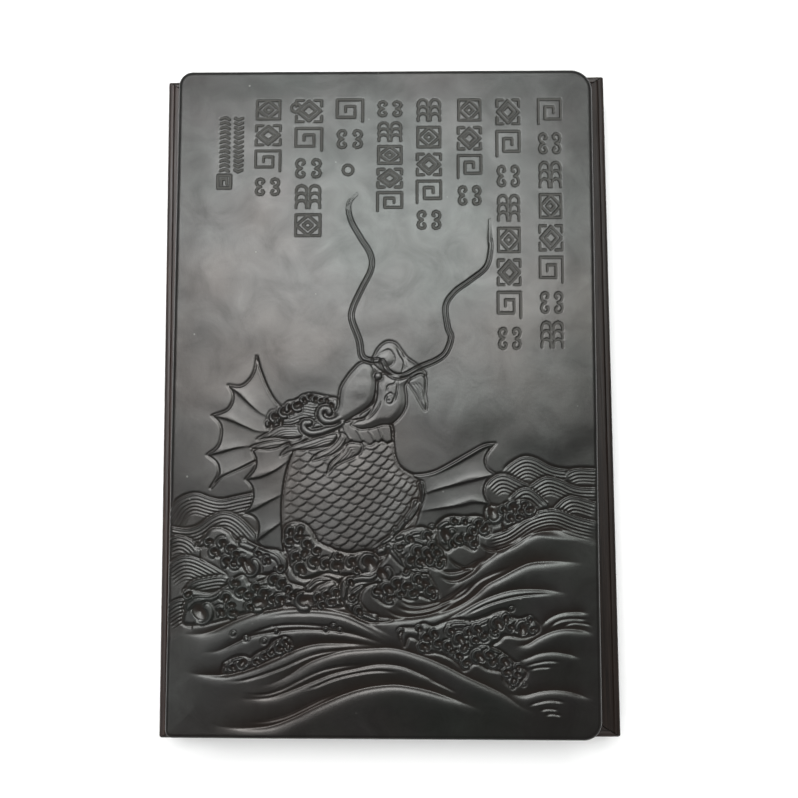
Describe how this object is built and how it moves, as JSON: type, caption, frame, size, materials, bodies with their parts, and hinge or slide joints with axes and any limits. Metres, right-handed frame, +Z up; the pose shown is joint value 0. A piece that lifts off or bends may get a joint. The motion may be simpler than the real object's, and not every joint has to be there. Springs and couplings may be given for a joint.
{
  "type": "covered inkstone",
  "caption": "Rectangular grinding stone for ink with a lift-off relief-carved stone cover, standing loose in a mitred hardwood tray on small feet.",
  "frame": {"origin": "under the middle of the tray, on the surface that its foot pads stand on", "axes": "+X across the stone to the right, +Y along it towards the end with the ornament columns, +Z up"},
  "size_m": [0.178, 0.262, 0.04],
  "materials": {
    "stone": "satin, hand carved",
    "hardwood": "waxed, satin",
    "panel_wood": "waxed, satin",
    "felt": "matt felt",
    "cork": "matt cork"
  },
  "bodies": {
    "tray": {"left_rail": "hardwood", "right_rail": "hardwood", "far_rail": "hardwood", "near_rail": "hardwood", "far_left_mitre_key": "panel_wood", "far_right_mitre_key": "panel_wood", "near_right_mitre_key": "panel_wood", "near_left_mitre_key": "panel_wood", "floor_panel": "panel_wood", "far_batten": "hardwood", "near_batten": "hardwood", "felt_liner": "felt", "far_left_foot": "hardwood", "far_right_foot": "hardwood", "near_right_foot": "hardwood", "near_left_foot": "hardwood", "far_left_pad": "cork", "far_right_pad": "cork", "near_right_pad": "cork", "near_left_pad": "cork"},
    "inkstone": {"inkstone_body": "stone"},
    "cover": {"stone_cover": "stone"}
  },
  "joints": [
    {"name": "inkstone_lift", "type": "slide", "parent": "tray", "child": "inkstone", "axis": [0, 0, 1], "range_m": [0, 0.03]},
    {"name": "cover_lift", "type": "slide", "parent": "inkstone", "child": "cover", "axis": [0, 0, 1], "range_m": [0, 0.06]}
  ]
}
